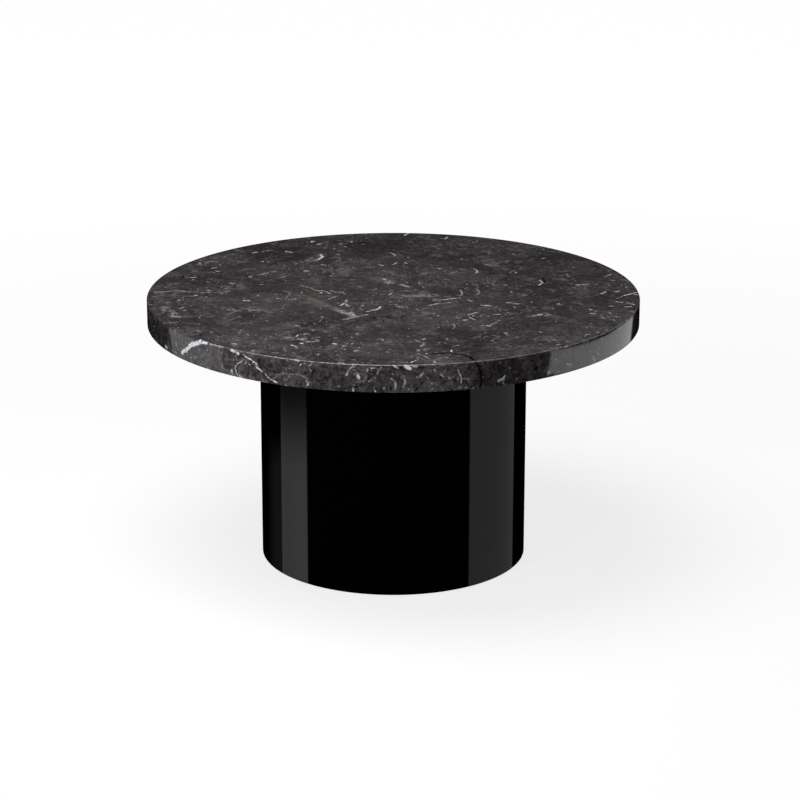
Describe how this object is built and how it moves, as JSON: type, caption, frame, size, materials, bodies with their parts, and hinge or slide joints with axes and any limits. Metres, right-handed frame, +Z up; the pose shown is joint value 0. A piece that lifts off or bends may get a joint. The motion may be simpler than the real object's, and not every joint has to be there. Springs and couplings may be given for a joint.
{
  "type": "cocktail table",
  "caption": "Low round table: a thick dark marble disc screwed down on a gloss black steel drum, which stands on screw-adjusted glides hidden inside its foot.",
  "frame": {"origin": "on the floor at the table's axis, with the glides fully screwed in", "axes": "+Z up along the drum's axis, -Y towards the pictured side, +X to that view's right"},
  "size_m": [0.55, 0.55, 0.305],
  "materials": {
    "marble": "satin",
    "gloss_lacquer": "gloss",
    "satin_paint": "satin",
    "black_screw": "satin",
    "zinc": "satin",
    "brass": "satin",
    "rubber": "matte",
    "nylon": "satin",
    "felt": "matte"
  },
  "bodies": {
    "table": {"tabletop": "marble", "stone_inserts": "brass", "top_screws": "black_screw", "top_washers": "zinc", "rubber_gasket": "rubber", "drum_shell": "gloss_lacquer", "top_flange": "satin_paint", "flange_welds": "satin_paint", "seam_weld": "satin_paint", "bottom_ring": "satin_paint", "ring_welds": "satin_paint", "leveller_nuts": "zinc"},
    "foot_1": {"foot_1": "nylon", "foot_sole_1": "felt"},
    "stud_1": {"foot_stud_1": "zinc"},
    "foot_2": {"foot_2": "nylon", "foot_sole_2": "felt"},
    "stud_2": {"foot_stud_2": "zinc"},
    "foot_3": {"foot_3": "nylon", "foot_sole_3": "felt"},
    "stud_3": {"foot_stud_3": "zinc"},
    "foot_4": {"foot_4": "nylon", "foot_sole_4": "felt"},
    "stud_4": {"foot_stud_4": "zinc"}
  },
  "joints": [
    {"name": "foot_1_lift", "type": "slide", "parent": "table", "child": "foot_1", "axis": [0, 0, -1], "range_m": [0, 0.01]},
    {"name": "stud_1_turn", "type": "hinge", "parent": "foot_1", "child": "stud_1", "pos_m": [0.08726, 0.08726, 0], "axis": [0, 0, -1], "range_deg": [0, 2880]},
    {"name": "foot_2_lift", "type": "slide", "parent": "table", "child": "foot_2", "axis": [0, 0, -1], "range_m": [0, 0.01]},
    {"name": "stud_2_turn", "type": "hinge", "parent": "foot_2", "child": "stud_2", "pos_m": [-0.08726, 0.08726, 0], "axis": [0, 0, -1], "range_deg": [0, 2880]},
    {"name": "foot_3_lift", "type": "slide", "parent": "table", "child": "foot_3", "axis": [0, 0, -1], "range_m": [0, 0.01]},
    {"name": "stud_3_turn", "type": "hinge", "parent": "foot_3", "child": "stud_3", "pos_m": [-0.08726, -0.08726, 0], "axis": [0, 0, -1], "range_deg": [0, 2880]},
    {"name": "foot_4_lift", "type": "slide", "parent": "table", "child": "foot_4", "axis": [0, 0, -1], "range_m": [0, 0.01]},
    {"name": "stud_4_turn", "type": "hinge", "parent": "foot_4", "child": "stud_4", "pos_m": [0.08726, -0.08726, 0], "axis": [0, 0, -1], "range_deg": [0, 2880]}
  ],
  "couplings": [
    {"joint": "stud_1_turn", "follows": "foot_1_lift", "rad_per_m": 5026},
    {"joint": "stud_2_turn", "follows": "foot_2_lift", "rad_per_m": 5026},
    {"joint": "stud_3_turn", "follows": "foot_3_lift", "rad_per_m": 5026},
    {"joint": "stud_4_turn", "follows": "foot_4_lift", "rad_per_m": 5026}
  ]
}
